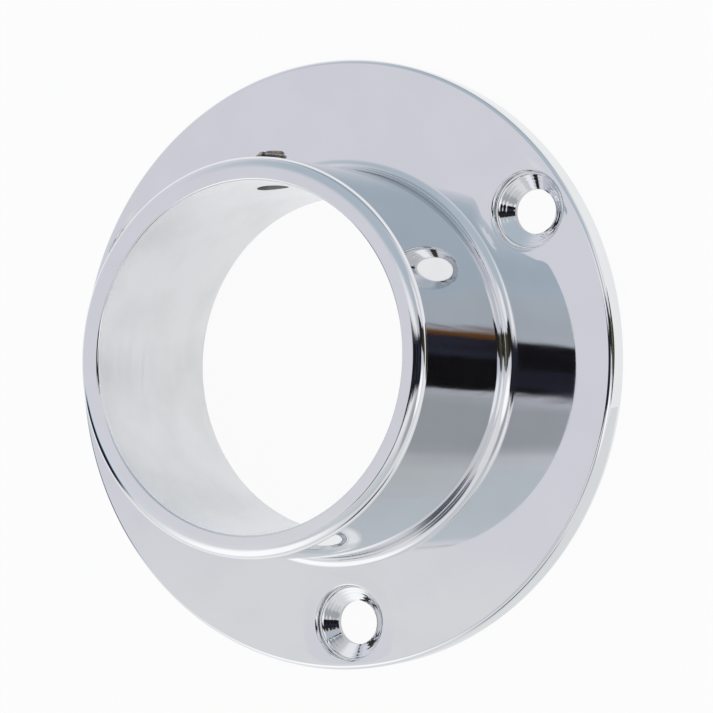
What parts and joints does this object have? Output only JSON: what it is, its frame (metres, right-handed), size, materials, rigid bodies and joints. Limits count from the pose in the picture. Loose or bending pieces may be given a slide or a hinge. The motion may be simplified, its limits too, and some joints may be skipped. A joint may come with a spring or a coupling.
{
  "type": "wardrobe rail socket",
  "caption": "Round flanged wall socket with a short collar that holds the end of a wardrobe rail, with countersunk fixing holes and a grub screw in the collar.",
  "frame": {"origin": "centre of the bore on the flange's back face, which is also the middle of the base", "axes": "+Z along the bore axis, out of the collar; +Y towards the grub screw"},
  "size_m": [0.0586, 0.0586, 0.0185],
  "materials": {
    "chrome_plate": "mirror polished outside, satin in the bore",
    "screw_steel": "plain turned"
  },
  "bodies": {
    "root": {"socket": "chrome_plate", "grub_screw": "screw_steel"}
  },
  "joints": []
}
